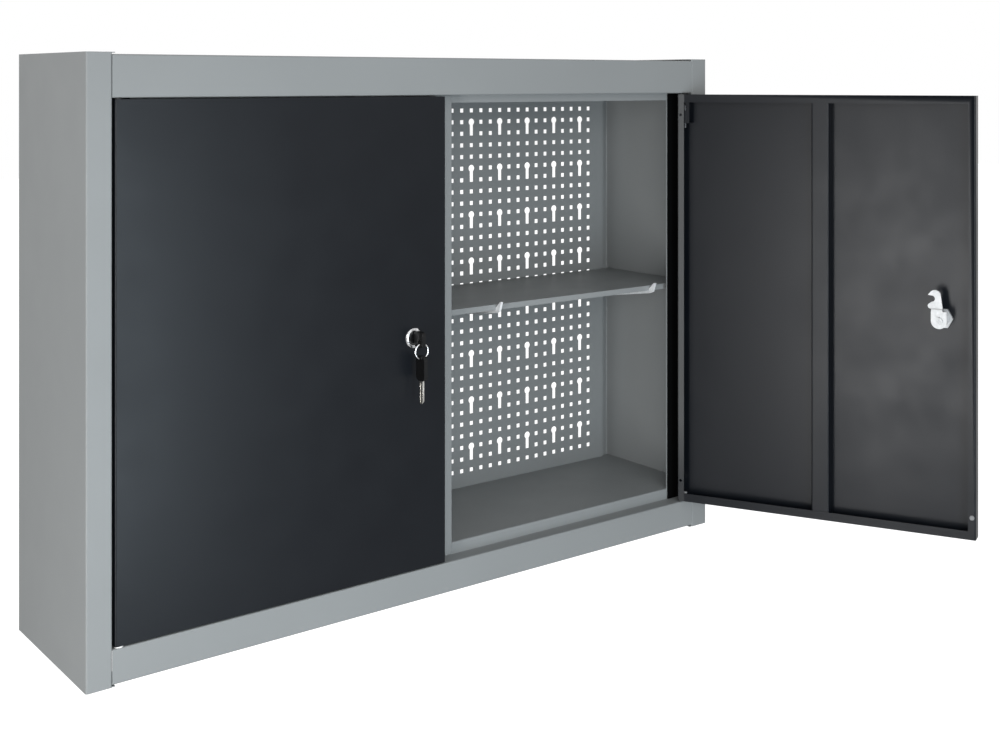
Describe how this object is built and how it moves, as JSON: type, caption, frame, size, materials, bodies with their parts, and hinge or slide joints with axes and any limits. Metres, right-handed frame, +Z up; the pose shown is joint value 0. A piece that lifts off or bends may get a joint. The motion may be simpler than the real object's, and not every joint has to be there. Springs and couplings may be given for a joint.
{
  "type": "wall-mounted tool cabinet with doors",
  "caption": "Sheet-steel wall cabinet for tools with a perforated back, a shelf and two cam-locked doors on sprung pivot pins.",
  "frame": {"origin": "middle of the four wall screw holes, in the plane of the wall: mid width and mid height of the case", "axes": "+X right as seen from the front, +Y into the wall, +Z up"},
  "size_m": [0.9317, 0.5303, 0.6],
  "materials": {
    "case_grey": "satin powder coat",
    "door_anthracite": "satin powder coat",
    "zinc": "bright zinc plate",
    "chrome": "polished",
    "spring_steel": "drawn wire",
    "nylon_white": "matt",
    "seal_black": "matt",
    "bumper_grey": "matt",
    "key_black": "satin"
  },
  "bodies": {
    "case": {"side_panel_left": "case_grey", "side_panel_right": "case_grey", "top_panel": "case_grey", "floor_panel": "case_grey", "back_left": "case_grey", "back_right": "case_grey", "centre_post": "case_grey", "seal_left": "seal_black", "seal_right": "seal_black", "shelf": "case_grey", "shelf_bracket_1": "zinc", "shelf_bracket_2": "zinc", "shelf_bracket_3": "zinc", "shelf_bracket_4": "zinc", "bush_top_left": "nylon_white", "bush_bottom_left": "nylon_white", "bush_top_right": "nylon_white", "bush_bottom_right": "nylon_white"},
    "left_door": {"door_left": "door_anthracite", "stiffener_left": "door_anthracite", "pin_bracket_left": "door_anthracite", "foot_bracket_left": "door_anthracite", "foot_pin_left": "zinc", "pin_spring_left": "spring_steel", "bumper_left": "bumper_grey", "lock_barrel_left": "chrome", "lock_nut_left": "zinc"},
    "left_pin": {"sprung_pin_left": "zinc"},
    "left_lock": {"lock_plug_left": "chrome", "cam_left": "zinc", "cam_screw_left": "zinc", "key": "key_black"},
    "ring": {"key_ring": "chrome"},
    "hanging_key": {"spare_key": "key_black"},
    "right_door": {"door_right": "door_anthracite", "stiffener_right": "door_anthracite", "pin_bracket_right": "door_anthracite", "foot_bracket_right": "door_anthracite", "foot_pin_right": "zinc", "pin_spring_right": "spring_steel", "bumper_right": "bumper_grey", "lock_barrel_right": "chrome", "lock_nut_right": "zinc"},
    "right_pin": {"sprung_pin_right": "zinc"},
    "right_lock": {"lock_plug_right": "chrome", "cam_right": "zinc", "cam_screw_right": "zinc"}
  },
  "joints": [
    {"name": "left_door_swing", "type": "hinge", "parent": "case", "child": "left_door", "pos_m": [-0.3675, -0.1955, 0], "axis": [0, 0, -1], "range_deg": [0, 116]},
    {"name": "right_door_swing", "type": "hinge", "parent": "case", "child": "right_door", "pos_m": [0.3675, -0.1955, 0], "axis": [0, 0, 1], "range_deg": [-116, 0]},
    {"name": "left_pin_pull", "type": "slide", "parent": "left_door", "child": "left_pin", "axis": [0, 0, -1], "range_m": [0, 0.006], "stiffness_N_per_m": 300, "springref_m": -0.006, "deforming": ["pin_spring_left"]},
    {"name": "right_pin_pull", "type": "slide", "parent": "right_door", "child": "right_pin", "axis": [0, 0, -1], "range_m": [0, 0.006], "stiffness_N_per_m": 300, "springref_m": -0.006, "deforming": ["pin_spring_right"]},
    {"name": "left_lock_turn", "type": "hinge", "parent": "left_door", "child": "left_lock", "pos_m": [-0.042, -0.1955, -0.009], "axis": [0, 1, 0], "range_deg": [0, 90]},
    {"name": "right_lock_turn", "type": "hinge", "parent": "right_door", "child": "right_lock", "pos_m": [0.51019, -0.48806, -0.009], "axis": [-0.8988, -0.4384, 0], "range_deg": [-90, 0]},
    {"name": "ring_swing", "type": "hinge", "parent": "left_lock", "child": "ring", "pos_m": [-0.042, -0.2156, -0.01325], "axis": [-1, 0, 0], "range_deg": [-4, 70]},
    {"name": "spare_key_swing", "type": "hinge", "parent": "ring", "child": "hanging_key", "pos_m": [-0.042, -0.2156, -0.02945], "axis": [-1, 0, 0], "range_deg": [-6, 60]}
  ]
}
